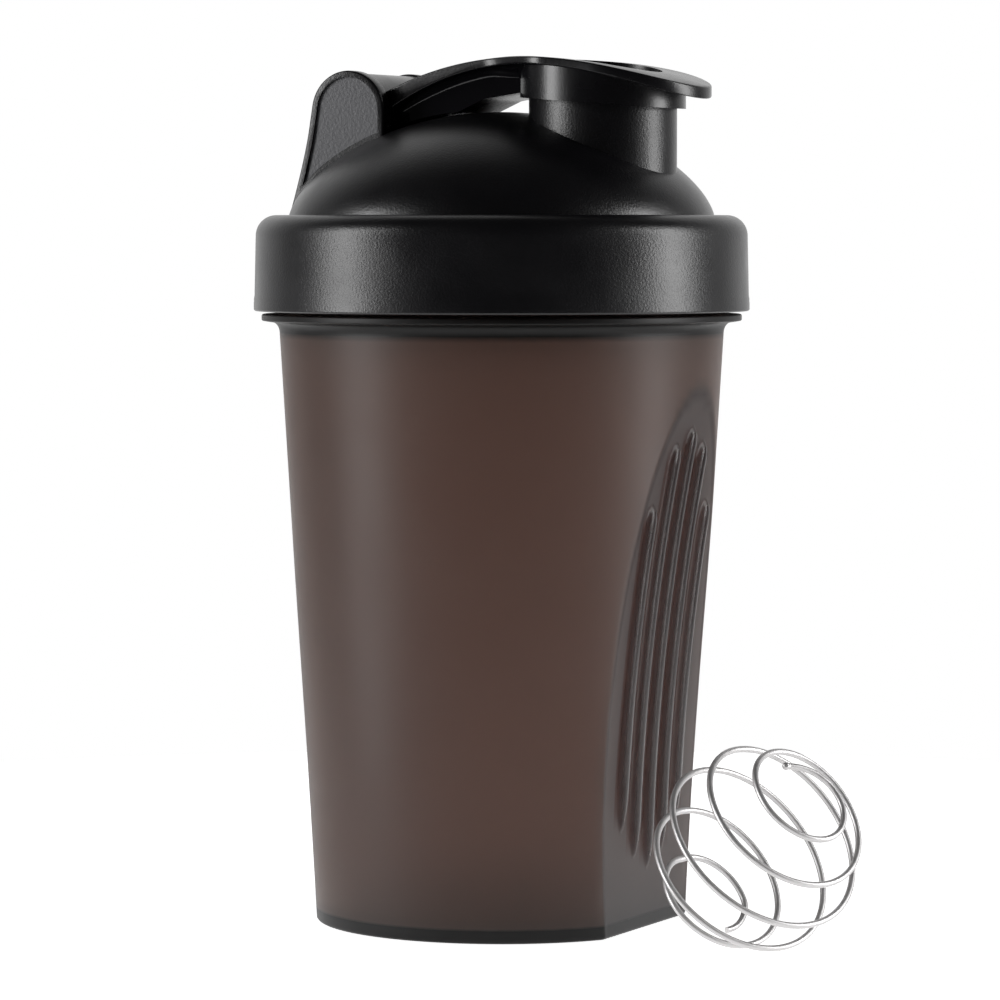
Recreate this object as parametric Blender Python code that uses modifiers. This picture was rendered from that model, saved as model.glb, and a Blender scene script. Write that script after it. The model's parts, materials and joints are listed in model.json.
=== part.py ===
"""Protein shaker bottle: cup, screw lid, lid gasket, flip cap and wire whisk ball.

Metres, +Z up. The origin is the middle of the cup's base, Z is the cup's axis, the drinking
spout points to +X and the flip cap's hinge axis runs along Y on the -X side.
"""
import math

import bmesh
import bpy
from mathutils import Matrix, Vector

MM = 0.001
SEGMENTS = 72                      # facets round the turned pieces
SPOUT_SEGMENTS = 40

# Cup
CUP_BASE_R = 36.15 * MM            # outer radius the wall would have at z = 0
CUP_TAPER = 0.0604                 # outer radius gained for each metre of height
CUP_FOOT_CHAMFER = 0.8 * MM
CUP_WALL = 1.75 * MM
CUP_FLOOR = 2.2 * MM
FLARE_Z = 114.2 * MM               # where the wall starts to flare into the flange
FLANGE_Z = (116.6 * MM, 117.9 * MM)
FLANGE_R = 46.55 * MM
NECK_R = 43.0 * MM
NECK_WALL = 1.8 * MM
RIM_Z = 133.5 * MM
RIM_CHAMFER = 0.5 * MM
FLANGE_CHAMFER = 0.3 * MM
CUP_INNER_FOOT = 1.2 * MM          # chamfer between the wall and the floor inside
FLARE_CURVE = ((0.05, 0.0), (0.62, 0.25), (0.78, 0.50), (0.94, 0.75), (1.0, 1.0))   # in, down

# Grips: a shallow scoop on the spout side and one on the hinge side, each with ribs
SCOOP_R = 444.0 * MM
SCOOP_Z = 4.1 * MM                 # height at which the scoop is deepest
SCOOP_X = 30.9 * MM                # its distance from the cup's axis there
SCOOP_SPAN = (-10.0 * MM, 125.0 * MM)   # heights its cutter runs between
SCOOP_REACH = (80.0 * MM, 35.0 * MM)    # how far its cutter runs along X, and each way along Y
RIB_PITCH = 6.2 * MM
RIB_R = 1.9 * MM
RIB_SINK = 0.9 * MM                # depth of a rib's centre line below the scoop
RIB_SPANS = ((20.0 * MM, 82.0 * MM), (14.5 * MM, 93.5 * MM), (12.0 * MM, 96.5 * MM))
RIB_TIP = 11.0 * MM                # length over which a rib's end tapers
RIB_THINNEST = 0.12                # share of its radius left at the very end

# Screw thread, two starts
THREAD_LEAD = 10.0 * MM
THREAD_R = 1.5 * MM                # radius of the round thread ridge
CUP_THREAD = (124.0 * MM, 220.0)   # height of its lower end, and its sweep in degrees
LID_THREAD = (121.5 * MM, 160.0)
THREAD_STEP = 10.0                 # degrees between points on a ridge
THREAD_END = 0.35                  # share of the radius left at a ridge's end
THREAD_GROWTH = 0.33               # share regained at each point from there

# Lid
RING_Z = 118.5 * MM
RING_TOP_Z = 137.0 * MM
RING_LIP_R = 48.05 * MM
RING_R = (47.9 * MM, 47.65 * MM)   # outer radius low and high on the ring
RING_ROUND = 4.0 * MM              # rounding of its upper edge
RING_LIP = (0.4 * MM, 1.7 * MM, 2.9 * MM)   # chamfer, top and fade of the lip round its foot
RING_INNER_R = 45.1 * MM
RING_ROOF_Z = 135.6 * MM
COLLAR_R = (39.0 * MM, 40.7 * MM)  # collar that enters the cup's rim
COLLAR_Z = 131.5 * MM
DOME_R = 41.3 * MM
DOME_Z = 136.2 * MM
DOME_RISE = 20.7 * MM
DOME_POWER = 1.28                  # fullness of the dome's profile
DOME_WALL = 1.9 * MM

# Spout
SPOUT_X = 21.6 * MM
SPOUT_R = 14.2 * MM
SPOUT_BORE_R = 12.95 * MM
MOUTH_TILT = 0.077                 # fall of the mouth's plane towards +X
MOUTH_Z = 161.9 * MM               # its height on the spout's axis

# Hinge
HINGE = Vector((-26.2 * MM, 0.0, 157.05 * MM))
LUG_R = 7.85 * MM
LUG_Y = (11.2 * MM, 14.5 * MM)
LUG_LEAN = 0.162                   # slope of a lug's outer side
LUG_FLARE = 1.8 * MM               # how far that side curves out at the foot
LUG_FLARE_Z = 153.0 * MM
LUG_FOOT_Z = 135.9 * MM
PANEL_INSET = 1.2 * MM
PANEL_DEPTH = 0.5 * MM
PANEL_FOOT_Z = 151.5 * MM
POCKET_R = 7.8 * MM
POCKET_WALL = 1.7 * MM
KNUCKLE_R = 7.4 * MM
KNUCKLE_Y = 10.9 * MM
TRUNNION_R = 2.2 * MM
TRUNNION_Y = 13.1 * MM
SOCKET_R = 2.5 * MM
SOCKET_Y = 13.5 * MM

# Flip cap
STRAP_APEX = (8.5 * MM, 167.15 * MM)
STRAP_ARC_R = (67.0 * MM, 103.0 * MM)   # arch towards the hinge, and towards the tab
STRAP_T = 1.5 * MM
STRAP_THICKEN = (3.3, 0.75)        # thickness gained per square metre either side of the apex
STRAP_ROOT_X = -21.0 * MM
STRAP_HALF = 10.7 * MM
FLARE_X = (1.0 * MM, 16.5 * MM)   # where the strap widens into the tab
TAB_X = 26.3 * MM
TAB_R = 16.5 * MM
SKIRT_R = (14.5 * MM, 15.9 * MM)
CAP_REACH_Y = 20.0 * MM            # half width that clears every part of the cap
CAP_SPAN_Z = (145.0 * MM, 175.0 * MM)   # heights that clear it
SKIRT_SPAN_X = (4.0 * MM, 39.0 * MM)    # clears the skirt along X
SKIRT_Z = 158.4 * MM               # height of its rim on the spout's axis
PLUG_R = 12.6 * MM
DISH_R = (11.1 * MM, 12.1 * MM)    # at its floor, and at the top of its cutter
DISH_Z = 160.2 * MM
PLUG_Z = 158.8 * MM
KEEL_HALF = 8.5 * MM
KEEL_GAP = 0.3 * MM                # gap between the keel and the dome
KEEL_RISE_X = -5.2 * MM            # where the keel's lower edge leaves the dome
KEEL_RISE = ((0.2 * MM, 159.2 * MM), (8.6 * MM, 160.4 * MM))
KEEL_FRONT = (9.5 * MM, 160.6 * MM)
KEEL_SINK = 0.6 * MM               # depth of its upper edge below the strap's top

# Gasket
GASKET_R = (41.0 * MM, 44.6 * MM)
GASKET_Z = (133.8 * MM, 135.3 * MM)

# Whisk ball
BALL_CENTRE = Vector((61.86 * MM, -18.1 * MM, 19.06 * MM))
BALL_R = 19.45 * MM
WIRE_R = 0.6 * MM
BALL_AXES = (Vector((0.054, 0.929, 0.367)), Vector((-0.681, -0.236, 0.694)),
             Vector((0.731, -0.287, 0.619)))    # the coil's own X, Y and Z
BALL_TURNS = 4.82                  # turns between its two end rings
BALL_POLES = (math.radians(18.3), math.radians(27.7))    # angles of the end rings from its axis
BALL_LEAN = math.radians(5.7)      # how far the first turns crowd towards their end ring
BALL_PHASE = -0.0185               # fraction of a turn by which the wire is rotated
BALL_START = -0.196                # turns of end ring before the first
BALL_HOOK = 11.3                   # radians by which a whole turn of its end would spread
BALL_CURL = (5.14, 0.5)            # where the other end starts to curl in, and how fast
BALL_END = 5.3
BALL_STEPS = 24                    # points on each turn

COLOURS = {
    "cup": (0.085, 0.062, 0.052, 0.22, 0.0),
    "lid": (0.010, 0.010, 0.011, 0.38, 0.0),
    "lid_gasket": (0.55, 0.55, 0.53, 0.55, 0.0),
    "flip_cap": (0.011, 0.011, 0.012, 0.30, 0.0),
    "whisk_ball": (0.62, 0.61, 0.60, 0.20, 1.0),
}


# Scene and object helpers

def clear_scene():
    for obj in list(bpy.data.objects):
        bpy.data.objects.remove(obj)


def new_collection(name):
    collection = bpy.data.collections.new(name)
    bpy.context.scene.collection.children.link(collection)
    return collection


def new_object(name, mesh, collection):
    obj = bpy.data.objects.new(name, mesh)
    collection.objects.link(obj)
    return obj


def cutter(name, mesh):
    obj = new_object(name, mesh, CUTTERS)
    obj.hide_render = True
    obj.display_type = "WIRE"
    return obj


def boolean(target, tool, operation):
    mod = target.modifiers.new(operation.title(), "BOOLEAN")
    mod.operation = operation
    mod.solver = "EXACT"
    mod.object = tool


def material(name):
    red, green, blue, roughness, metallic = COLOURS[name]
    mat = bpy.data.materials.new(name)
    mat.use_nodes = True
    shader = mat.node_tree.nodes["Principled BSDF"]
    shader.inputs["Base Color"].default_value = (red, green, blue, 1.0)
    shader.inputs["Roughness"].default_value = roughness
    shader.inputs["Metallic"].default_value = metallic
    return mat


def finish(obj, origin=Vector()):
    """Give a sub-part its material, its smooth shading and its origin."""
    obj.data.materials.append(material(obj.name))
    obj.data.transform(Matrix.Translation(-origin))
    obj.location = origin
    obj.data.shade_smooth()
    obj.data.set_sharp_from_angle(angle=math.radians(35.0))


# Shape helpers

def turned(name, profile, closed=False, segments=SEGMENTS):
    """Mesh of a (radius, height) profile spun round Z, running down its outer side."""
    mesh = bpy.data.meshes.new(name)
    edges = [(i, i + 1) for i in range(len(profile) - 1)]
    if closed:
        edges.append((len(profile) - 1, 0))
    mesh.from_pydata([(radius, 0.0, height) for radius, height in profile], edges, [])
    obj = new_object(name, mesh, CUTTERS)
    screw = obj.modifiers.new("Screw", "SCREW")
    screw.axis = "Z"
    screw.steps = segments
    screw.render_steps = segments
    screw.use_merge_vertices = True
    screw.merge_threshold = 0.00001
    return baked(obj)


def plate(name, outline, low, high, axis):
    """Mesh of a flat outline extruded between two places on an axis.

    The outline is in (x, z) for axis Y and in (x, y) for axis Z.
    """
    curve = bpy.data.curves.new(name, "CURVE")
    curve.dimensions = "2D"
    curve.fill_mode = "BOTH"
    curve.extrude = (high - low) / 2
    spline = curve.splines.new("POLY")
    spline.points.add(len(outline) - 1)
    for point, (across, up) in zip(spline.points, outline):
        point.co = (across, up, 0.0, 1.0)
    spline.use_cyclic_u = True
    obj = new_object(name, curve, CUTTERS)
    if axis == "Y":
        obj.rotation_euler = (math.radians(90.0), 0.0, 0.0)
        obj.location = (0.0, (low + high) / 2, 0.0)
    else:
        obj.location = (0.0, 0.0, (low + high) / 2)
    return baked(obj)


def wire(name, points, radius, scales=None):
    """Mesh of a round wire along points, with a radius factor at each."""
    curve = bpy.data.curves.new(name, "CURVE")
    curve.dimensions = "3D"
    curve.bevel_depth = radius
    curve.bevel_resolution = 2
    curve.use_fill_caps = True
    spline = curve.splines.new("POLY")
    spline.points.add(len(points) - 1)
    for index, place in enumerate(points):
        spline.points[index].co = (*place, 1.0)
        spline.points[index].radius = scales[index] if scales else 1.0
    return baked(new_object(name, curve, CUTTERS))


def baked(obj):
    """Mesh of an object as evaluated, in world space, closed and facing outwards."""
    bpy.context.view_layer.update()
    graph = bpy.context.evaluated_depsgraph_get()
    mesh = bpy.data.meshes.new_from_object(obj.evaluated_get(graph))
    mesh.transform(obj.matrix_world)
    bpy.data.objects.remove(obj)
    bm = bmesh.new()
    bm.from_mesh(mesh)
    bmesh.ops.remove_doubles(bm, verts=bm.verts, dist=0.00001)
    bmesh.ops.recalc_face_normals(bm, faces=bm.faces)
    bm.to_mesh(mesh)
    bm.free()
    return mesh


def cylinder(name, radius, low, high, centre, axis="Z", segments=SPOUT_SEGMENTS, top_radius=None):
    """Mesh of a cylinder or cone between two places on an axis."""
    bm = bmesh.new()
    bmesh.ops.create_cone(bm, cap_ends=True, segments=segments, radius1=radius,
                          radius2=radius if top_radius is None else top_radius,
                          depth=high - low)
    middle = (low + high) / 2
    if axis == "Y":
        bmesh.ops.rotate(bm, verts=bm.verts, matrix=Matrix.Rotation(math.radians(-90.0), 3, "X"))
        shift = Vector((centre[0], middle, centre[1]))
    else:
        shift = Vector((centre[0], centre[1], middle))
    bmesh.ops.translate(bm, verts=bm.verts, vec=shift)
    mesh = bpy.data.meshes.new(name)
    bm.to_mesh(mesh)
    bm.free()
    return mesh


def mirrored(mesh, name, axis):
    """Copy of a mesh mirrored along one axis through the origin."""
    bm = bmesh.new()
    bm.from_mesh(mesh)
    scale = Vector((1.0, 1.0, 1.0))
    scale[axis] = -1.0
    bmesh.ops.scale(bm, vec=scale, verts=bm.verts)
    bmesh.ops.reverse_faces(bm, faces=bm.faces)
    copy = bpy.data.meshes.new(name)
    bm.to_mesh(copy)
    bm.free()
    return copy


def turned_half_round(name, mesh):
    """Copy of a mesh turned half a turn round Z."""
    copy = mesh.copy()
    copy.name = name
    copy.transform(Matrix.Rotation(math.pi, 4, "Z"))
    return copy


def spread(low, high, steps):
    return [low + (high - low) * i / steps for i in range(steps + 1)]


def arc(centre, radius, start, end, steps):
    """Points on a circle, from one angle in degrees to another."""
    return [(centre[0] + radius * math.cos(math.radians(angle)),
             centre[1] + radius * math.sin(math.radians(angle)))
            for angle in spread(start, end, steps)]


# Cup

def wall_radius(height):
    return CUP_BASE_R + CUP_TAPER * height


def scoop_x(height):
    return SCOOP_X + SCOOP_R - math.sqrt(SCOOP_R ** 2 - (height - SCOOP_Z) ** 2)


def scoop_cutter(name, inset):
    """Everything outside the scooped grip's surface, moved in by inset."""
    low, high = SCOOP_SPAN
    outline = [(scoop_x(z) - inset, z) for z in spread(low, high, 12)]
    outline += [(SCOOP_REACH[0], high), (SCOOP_REACH[0], low)]
    return plate(name, outline, -SCOOP_REACH[1], SCOOP_REACH[1], "Y")


def rib(name, offset, low, high):
    points, scales = [], []
    for z in spread(low, high, 14):
        points.append((scoop_x(z) - RIB_SINK, offset, z))
        end = min(z - low, high - z) / RIB_TIP
        scales.append(max(RIB_THINNEST, math.sin(min(1.0, end) * math.pi / 2)))
    return wire(name, points, RIB_R, scales)


def thread_ridge(name, radius, base, sweep):
    steps = round(sweep / THREAD_STEP)
    points, scales = [], []
    for i in range(steps + 1):
        turn = sweep * i / steps
        angle = math.radians(turn)
        points.append((radius * math.cos(angle), radius * math.sin(angle),
                       base + THREAD_LEAD * turn / 360.0))
        scales.append(min(1.0, THREAD_END + THREAD_GROWTH * min(i, steps - i)))
    return wire(name, points, THREAD_R, scales)


def cup_outside():
    foot = CUP_FOOT_CHAMFER
    profile = [(0.0, RIM_Z), (NECK_R - RIM_CHAMFER, RIM_Z),
               (NECK_R, RIM_Z - RIM_CHAMFER), (NECK_R, FLANGE_Z[1]),
               (FLANGE_R - FLANGE_CHAMFER, FLANGE_Z[1]),
               (FLANGE_R, FLANGE_Z[1] - FLANGE_CHAMFER), (FLANGE_R, FLANGE_Z[0])]
    wall = wall_radius(FLARE_Z)
    profile += [(FLANGE_R - (FLANGE_R - wall) * f, FLANGE_Z[0] - (FLANGE_Z[0] - FLARE_Z) * drop)
                for f, drop in FLARE_CURVE]
    profile += [(wall_radius(foot), foot), (wall_radius(0.0) - foot, 0.0), (0.0, 0.0)]
    return turned("cup", profile)


def cup_inside():
    mouth = NECK_R - NECK_WALL
    floor = CUP_FLOOR + CUP_INNER_FOOT
    profile = [(0.0, RIM_Z + 5.0 * MM), (mouth, RIM_Z + 5.0 * MM), (mouth, FLANGE_Z[0]),
               (wall_radius(FLARE_Z - 2.0 * MM) - CUP_WALL, FLARE_Z - 2.0 * MM),
               (wall_radius(floor) - CUP_WALL, floor),
               (wall_radius(floor) - CUP_WALL - CUP_INNER_FOOT, CUP_FLOOR), (0.0, CUP_FLOOR)]
    return turned("cup_inside", profile)


def build_cup():
    cup = new_object("cup", cup_outside(), PARTS)
    scoop = scoop_cutter("scoop_front", 0.0)
    boolean(cup, cutter("scoop_front", scoop), "DIFFERENCE")
    boolean(cup, cutter("scoop_back", turned_half_round("scoop_back", scoop)), "DIFFERENCE")
    for index in range(-2, 3):
        low, high = RIB_SPANS[2 - abs(index)]
        ridge = rib(f"rib_front_{index + 3}", index * RIB_PITCH, low, high)
        boolean(cup, cutter(ridge.name, ridge), "UNION")
        back = turned_half_round(f"rib_back_{index + 3}", ridge)
        boolean(cup, cutter(back.name, back), "UNION")
    ridge = thread_ridge("cup_thread_1", NECK_R, *CUP_THREAD)
    boolean(cup, cutter("cup_thread_1", ridge), "UNION")
    boolean(cup, cutter("cup_thread_2", turned_half_round("cup_thread_2", ridge)), "UNION")
    hollow = cutter("cup_inside", cup_inside())
    scoop = scoop_cutter("scoop_inner_front", CUP_WALL)
    boolean(hollow, cutter("scoop_inner_front", scoop), "DIFFERENCE")
    boolean(hollow, cutter("scoop_inner_back", turned_half_round("scoop_inner_back", scoop)),
            "DIFFERENCE")
    boolean(cup, hollow, "DIFFERENCE")
    finish(cup)


# Lid

def dome_points(radius, rise, steps=14):
    """Points down a dome's profile, from its top to its foot."""
    points = []
    for angle in spread(0.0, math.pi / 2, steps):
        height = max(0.0, math.cos(angle)) ** DOME_POWER
        points.append((radius * math.sin(angle), DOME_Z + rise * height))
    return points


def dome_z(radius, gap=0.0):
    return DOME_Z + (DOME_RISE + gap) * (1 - (radius / (DOME_R + gap)) ** 2) ** (DOME_POWER / 2)


def lid_outside():
    low, high = RING_R
    profile = dome_points(DOME_R, DOME_RISE)
    profile += [(41.5 * MM, DOME_Z + 0.1 * MM), (42.3 * MM, RING_TOP_Z - 0.2 * MM)]
    profile += arc((high - RING_ROUND, RING_TOP_Z - RING_ROUND), RING_ROUND, 85.0, 0.0, 4)
    chamfer, top, fade = RING_LIP
    profile += [(low, RING_Z + fade), (RING_LIP_R, RING_Z + top),
                (RING_LIP_R, RING_Z + chamfer), (RING_LIP_R - chamfer, RING_Z), (0.0, RING_Z)]
    return turned("lid", profile)


def lid_inside():
    profile = dome_points(COLLAR_R[0], DOME_RISE - DOME_WALL)
    profile += [(COLLAR_R[0], COLLAR_Z), (COLLAR_R[1], COLLAR_Z), (COLLAR_R[1], RING_ROOF_Z),
                (RING_INNER_R, RING_ROOF_Z), (RING_INNER_R, RING_Z - 2.0 * MM),
                (0.0, RING_Z - 2.0 * MM)]
    return turned("lid_inside", profile)


def mouth_z(x):
    return MOUTH_Z - MOUTH_TILT * (x - SPOUT_X)


def spout_body():
    """The spout's outside, cut to its sloping mouth."""
    outline = [(0.0, DOME_Z + 2.0 * MM), (44.0 * MM, DOME_Z + 2.0 * MM),
               (44.0 * MM, mouth_z(44.0 * MM)), (0.0, mouth_z(0.0))]
    tube = cylinder("spout", SPOUT_R, DOME_Z + 1.0 * MM, 170.0 * MM, (SPOUT_X, 0.0))
    spout = cutter("spout", tube)
    boolean(spout, cutter("spout_slab", plate("spout_slab", outline, -20.0 * MM, 20.0 * MM, "Y")),
            "INTERSECT")
    return spout


def lug_outline(inset, foot_z):
    """A round-topped lug in (x, z): its outer side flares at the foot, its inner side is upright."""
    centre = (HINGE.x, HINGE.z)
    radius = LUG_R - inset
    lean = math.degrees(math.atan(LUG_LEAN))
    outline = arc(centre, radius, 0.0, 180.0 - lean, 14)
    left = outline[-1]
    for z in spread(LUG_FLARE_Z, foot_z, 5):
        flare = LUG_FLARE * ((LUG_FLARE_Z - z) / (LUG_FLARE_Z - LUG_FOOT_Z)) ** 1.5
        outline.append((left[0] - LUG_LEAN * (left[1] - z) - flare, z))
    outline.append((HINGE.x + radius, foot_z))
    return outline


def build_lid():
    lid = new_object("lid", lid_outside(), PARTS)
    boolean(lid, spout_body(), "UNION")
    centre = (HINGE.x, HINGE.z)
    reach = LUG_Y[0] + 0.4 * MM
    pocket = cylinder("pocket", POCKET_R, -reach, reach, centre, "Y")
    boolean(lid, cutter("pocket", pocket), "DIFFERENCE")
    lug = plate("lug_far", lug_outline(0.0, LUG_FOOT_Z), LUG_Y[0], LUG_Y[1], "Y")
    boolean(lid, cutter("lug_far", lug), "UNION")
    boolean(lid, cutter("lug_near", mirrored(lug, "lug_near", 1)), "UNION")
    panel = plate("panel_far", lug_outline(PANEL_INSET, PANEL_FOOT_Z),
                  LUG_Y[1] - PANEL_DEPTH, LUG_Y[1] + 2.0 * MM, "Y")
    boolean(lid, cutter("panel_far", panel), "DIFFERENCE")
    boolean(lid, cutter("panel_near", mirrored(panel, "panel_near", 1)), "DIFFERENCE")
    hollow = cutter("lid_inside", lid_inside())
    bulge = cylinder("pocket_bulge", POCKET_R + POCKET_WALL, -LUG_Y[0] - 2.0 * MM,
                     LUG_Y[0] + 2.0 * MM, centre, "Y")
    boolean(hollow, cutter("pocket_bulge", bulge), "DIFFERENCE")
    boolean(lid, hollow, "DIFFERENCE")
    bore = cylinder("spout_bore", SPOUT_BORE_R, DOME_Z - 2.0 * MM, 172.0 * MM, (SPOUT_X, 0.0))
    boolean(lid, cutter("spout_bore", bore), "DIFFERENCE")
    sockets = cylinder("sockets", SOCKET_R, -SOCKET_Y, SOCKET_Y, centre, "Y", 16)
    boolean(lid, cutter("sockets", sockets), "DIFFERENCE")
    ridge = thread_ridge("lid_thread_1", RING_INNER_R, *LID_THREAD)
    boolean(lid, cutter("lid_thread_1", ridge), "UNION")
    boolean(lid, cutter("lid_thread_2", turned_half_round("lid_thread_2", ridge)), "UNION")
    finish(lid)


# Gasket

def build_gasket():
    inner, outer = GASKET_R
    low, high = GASKET_Z
    profile = [(inner, high), (outer, high), (outer, low), (inner, low)]
    finish(new_object("lid_gasket", turned("lid_gasket", profile, closed=True), PARTS))


# Flip cap

def strap_top(x):
    radius = STRAP_ARC_R[0] if x < STRAP_APEX[0] else STRAP_ARC_R[1]
    return STRAP_APEX[1] - radius + math.sqrt(radius ** 2 - (x - STRAP_APEX[0]) ** 2)


def strap_bottom(x):
    growth = STRAP_THICKEN[0] if x < STRAP_APEX[0] else STRAP_THICKEN[1]
    return strap_top(x) - STRAP_T - growth * (x - STRAP_APEX[0]) ** 2


def strap_side():
    """The strap's side view in (x, z)."""
    stations = spread(STRAP_ROOT_X, TAB_X + TAB_R + 2.0 * MM, 18)
    outline = [(x, strap_top(x)) for x in stations]
    return outline + [(x, strap_bottom(x)) for x in reversed(stations)]


def strap_plan():
    """The strap and its round tab from above in (x, y)."""
    near = [(STRAP_ROOT_X - 4.0 * MM, -STRAP_HALF), (FLARE_X[0], -STRAP_HALF)]
    for x in spread(*FLARE_X, 6)[1:]:
        f = (x - FLARE_X[0]) / (FLARE_X[1] - FLARE_X[0])
        near.append((x, -STRAP_HALF - (TAB_R - STRAP_HALF) * f * f * (3 - 2 * f)))
    near += arc((TAB_X, 0.0), TAB_R, -90.0, 0.0, 10)
    far = [(x, -y) for x, y in reversed(near[:-1])]
    return near + far


def skirt_side():
    """Side view of the space between the skirt's rim and the strap's top skin."""
    stations = spread(*SKIRT_SPAN_X, 8)
    outline = [(x, strap_top(x) - 0.4 * MM) for x in reversed(stations)]
    return outline + [(x, SKIRT_Z - MOUTH_TILT * (x - SPOUT_X)) for x in stations]


def groove_side():
    """Side view of the groove that takes the spout's wall."""
    stations = spread(*SKIRT_SPAN_X, 8)
    outline = [(x, strap_bottom(x)) for x in reversed(stations)]
    return outline + [(x, CAP_SPAN_Z[0]) for x in SKIRT_SPAN_X]


def keel_side():
    """Side view of the keel under the strap, which follows the dome."""
    low = spread(-19.5 * MM, KEEL_RISE_X, 6)
    outline = [(x, dome_z(abs(x), KEEL_GAP)) for x in low]
    outline += [*KEEL_RISE, KEEL_FRONT]
    outline += [(x, strap_top(x) - KEEL_SINK) for x in spread(KEEL_FRONT[0], -19.0 * MM, 6)]
    return outline + [(HINGE.x, HINGE.z + 2.0 * MM), (HINGE.x, HINGE.z - 2.0 * MM)]


def spout_tube(name, inner, outer):
    """A tube round the spout's axis, long enough to be cut to any side view."""
    low, high = CAP_SPAN_Z
    profile = [(inner, high), (outer, high), (outer, low), (inner, low)]
    mesh = turned(name, profile, closed=True, segments=SPOUT_SEGMENTS)
    mesh.transform(Matrix.Translation((SPOUT_X, 0.0, 0.0)))
    return mesh


def build_flip_cap():
    cap = new_object("flip_cap", plate("flip_cap", strap_side(), -CAP_REACH_Y, CAP_REACH_Y, "Y"), PARTS)
    plan = plate("strap_plan", strap_plan(), *CAP_SPAN_Z, "Z")
    boolean(cap, cutter("strap_plan", plan), "INTERSECT")
    centre = (HINGE.x, HINGE.z)
    knuckle = cylinder("knuckle", KNUCKLE_R, -KNUCKLE_Y, KNUCKLE_Y, centre, "Y")
    boolean(cap, cutter("knuckle", knuckle), "UNION")
    keel = plate("keel", keel_side(), -KEEL_HALF, KEEL_HALF, "Y")
    boolean(cap, cutter("keel", keel), "UNION")
    drum = cutter("drum", cylinder("drum", SKIRT_R[1], *CAP_SPAN_Z, (SPOUT_X, 0.0)))
    side = plate("skirt_side", skirt_side(), -CAP_REACH_Y, CAP_REACH_Y, "Y")
    boolean(drum, cutter("skirt_side", side), "INTERSECT")
    boolean(cap, drum, "UNION")
    groove = cutter("groove", spout_tube("groove", PLUG_R, SKIRT_R[0]))
    side = plate("groove_side", groove_side(), -CAP_REACH_Y, CAP_REACH_Y, "Y")
    boolean(groove, cutter("groove_side", side), "INTERSECT")
    boolean(cap, groove, "DIFFERENCE")
    trim = cylinder("plug_trim", (PLUG_R + SKIRT_R[0]) / 2, CAP_SPAN_Z[0], PLUG_Z, (SPOUT_X, 0.0))
    boolean(cap, cutter("plug_trim", trim), "DIFFERENCE")
    dish = cylinder("dish", DISH_R[0], DISH_Z, CAP_SPAN_Z[1], (SPOUT_X, 0.0),
                    top_radius=DISH_R[1])
    boolean(cap, cutter("dish", dish), "DIFFERENCE")
    trunnions = cylinder("trunnions", TRUNNION_R, -TRUNNION_Y, TRUNNION_Y, centre, "Y", 16)
    boolean(cap, cutter("trunnions", trunnions), "UNION")
    finish(cap, HINGE)


# Whisk ball

def coil_point(turn):
    """Point on the coil's centre line, so many turns from its first end ring."""
    climb = min(1.0, max(0.0, turn / BALL_TURNS))
    first, last = BALL_POLES
    polar = first + (math.pi - first - last) * climb
    polar -= BALL_LEAN * math.sin(math.pi * climb) * (1.0 - climb)
    polar += BALL_HOOK * max(0.0, -turn) ** 3 + BALL_CURL[1] * max(0.0, turn - BALL_CURL[0])
    angle = 2 * math.pi * (turn + BALL_PHASE)
    across, along, up = BALL_AXES
    radius = BALL_R - WIRE_R
    return BALL_CENTRE + radius * (math.sin(polar) * (math.cos(angle) * across
                                                      - math.sin(angle) * along)
                                   + math.cos(polar) * up)


def build_whisk_ball():
    steps = round((BALL_END - BALL_START) * BALL_STEPS)
    points = [coil_point(turn) for turn in spread(BALL_START, BALL_END, steps)]
    drop = min(point.z for point in points) - WIRE_R
    for point in points:
        point.z -= drop
    finish(new_object("whisk_ball", wire("whisk_ball", points, WIRE_R), PARTS), BALL_CENTRE)


clear_scene()
PARTS = new_collection("shaker_bottle")
CUTTERS = new_collection("cutters")
build_cup()
build_lid()
build_gasket()
build_flip_cap()
build_whisk_ball()
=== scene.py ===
import json
import math

import bmesh
import bpy
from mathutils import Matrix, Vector


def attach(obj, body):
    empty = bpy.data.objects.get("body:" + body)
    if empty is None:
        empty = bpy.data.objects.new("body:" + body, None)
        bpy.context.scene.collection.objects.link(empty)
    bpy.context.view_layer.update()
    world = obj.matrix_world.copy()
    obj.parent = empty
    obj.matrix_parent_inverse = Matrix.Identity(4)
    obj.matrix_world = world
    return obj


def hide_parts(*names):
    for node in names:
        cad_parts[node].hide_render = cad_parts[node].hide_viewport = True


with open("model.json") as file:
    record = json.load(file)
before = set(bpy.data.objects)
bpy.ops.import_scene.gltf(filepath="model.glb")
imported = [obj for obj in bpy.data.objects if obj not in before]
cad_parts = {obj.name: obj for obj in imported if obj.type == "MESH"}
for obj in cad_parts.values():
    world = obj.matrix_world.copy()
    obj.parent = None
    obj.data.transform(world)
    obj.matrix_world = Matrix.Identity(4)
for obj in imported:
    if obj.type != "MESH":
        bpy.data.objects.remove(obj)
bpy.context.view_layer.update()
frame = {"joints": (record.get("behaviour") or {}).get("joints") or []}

MM = 0.001
FULL_TURN = 2 * math.pi

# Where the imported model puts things
HINGE = Vector(next(j["pos_m"] for j in frame["joints"] if j["name"] == "flip_cap_hinge"))

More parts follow.
